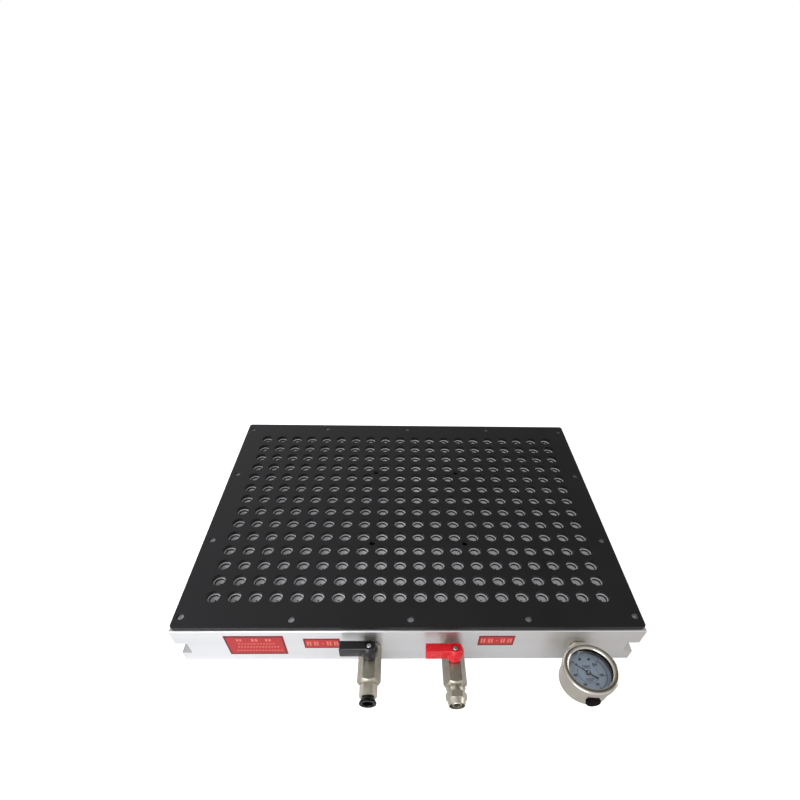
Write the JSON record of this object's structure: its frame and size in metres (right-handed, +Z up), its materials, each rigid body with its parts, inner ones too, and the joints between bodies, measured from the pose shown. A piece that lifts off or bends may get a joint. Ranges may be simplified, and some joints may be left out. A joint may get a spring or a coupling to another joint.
{
  "type": "vacuum chuck",
  "caption": "Flat rectangular vacuum chuck: black work plate with a grid of suction holes on an aluminium base, with two ball valves and a vacuum gauge on the front.",
  "frame": {"origin": "centre of the base's underside", "axes": "+X along the long side towards the gauge, +Y away from the front face that carries the valves, +Z up out of the work face"},
  "size_m": [0.4, 0.3531, 0.05],
  "materials": {
    "satin_aluminium": "fine milled and clear anodised, satin",
    "black_anodised": "black hard anodised, matt",
    "black_rubber": "matt",
    "screw_steel": "bright",
    "wide_label": "red printed film",
    "port_label": "red printed film",
    "nickel_brass": "nickel plated, bright",
    "chromed_ball": "polished",
    "white_seat": "smooth white",
    "plain_brass": "turned",
    "black_plastic": "fine matt moulding",
    "red_plastic": "smooth moulding",
    "spring_steel": "bright",
    "gauge_steel": "polished stainless",
    "clear_window": "clear",
    "dial_paint": "pale enamel",
    "pointer_black": "matt black"
  },
  "bodies": {
    "chuck": {"base_body": "satin_aluminium", "top_plate": "black_anodised", "bottom_cover": "satin_aluminium", "cover_seal": "black_rubber", "top_plate_screws": "screw_steel", "cover_screws": "screw_steel", "wide_label": "wide_label", "blow_label": "port_label", "vacuum_label": "port_label", "blow_valve_body": "nickel_brass", "blow_valve_insert": "nickel_brass", "blow_ball_seats": "white_seat", "vacuum_valve_body": "nickel_brass", "vacuum_valve_insert": "nickel_brass", "vacuum_ball_seats": "white_seat", "push_fitting_body": "nickel_brass", "grip_ring": "spring_steel", "tube_seal": "black_rubber", "hose_connector": "nickel_brass", "hose_nut": "nickel_brass", "gauge_case": "gauge_steel", "gauge_bezel": "gauge_steel", "gauge_window": "clear_window", "window_gasket": "black_rubber", "gauge_dial": "dial_paint", "dial_screws": "screw_steel", "movement_frame": "plain_brass", "gauge_socket": "nickel_brass", "bourdon_tube": "plain_brass", "fill_plug": "black_rubber"},
    "blow_handle": {"blow_lever": "black_plastic", "blow_lever_screw": "screw_steel", "blow_stem": "plain_brass", "blow_stem_seal": "black_rubber", "blow_ball": "chromed_ball"},
    "vacuum_handle": {"vacuum_lever": "red_plastic", "vacuum_lever_screw": "screw_steel", "vacuum_stem": "plain_brass", "vacuum_stem_seal": "black_rubber", "vacuum_ball": "chromed_ball"},
    "sleeve": {"release_sleeve": "black_plastic"},
    "pointer": {"gauge_pointer": "pointer_black", "pointer_arbor": "spring_steel"},
    "sector": {"gauge_sector": "plain_brass"},
    "link": {"sector_link": "plain_brass"}
  },
  "joints": [
    {"name": "blow_lever_turn", "type": "hinge", "parent": "chuck", "child": "blow_handle", "pos_m": [-0.0343, -0.1615, 0.04], "axis": [0, 0, 1], "range_deg": [0, 90]},
    {"name": "vacuum_lever_turn", "type": "hinge", "parent": "chuck", "child": "vacuum_handle", "pos_m": [0.0364, -0.164, 0.04], "axis": [0, 0, 1], "range_deg": [0, 90]},
    {"name": "sleeve_push", "type": "slide", "parent": "chuck", "child": "sleeve", "axis": [0, 1, 0], "range_m": [0, 0.0012], "stiffness_N_per_m": 1500},
    {"name": "pointer_turn", "type": "hinge", "parent": "chuck", "child": "pointer", "pos_m": [0.1465, -0.1785, 0.023], "axis": [0, 0, 1], "range_deg": [0, 264], "stiffness_Nm_per_rad": 0.00002},
    {"name": "sector_turn", "type": "hinge", "parent": "chuck", "child": "sector", "pos_m": [0.1465, -0.18645, 0.023], "axis": [0, 0, 1], "range_deg": [-47.1, 0]},
    {"name": "link_turn", "type": "hinge", "parent": "sector", "child": "link", "pos_m": [0.142, -0.18645, 0.023], "axis": [0, 0, 1], "range_deg": [0, 47.1]}
  ],
  "couplings": [
    {"joint": "sector_turn", "follows": "pointer_turn", "ratio": -0.17778},
    {"joint": "link_turn", "follows": "pointer_turn", "ratio": 0.17778}
  ]
}
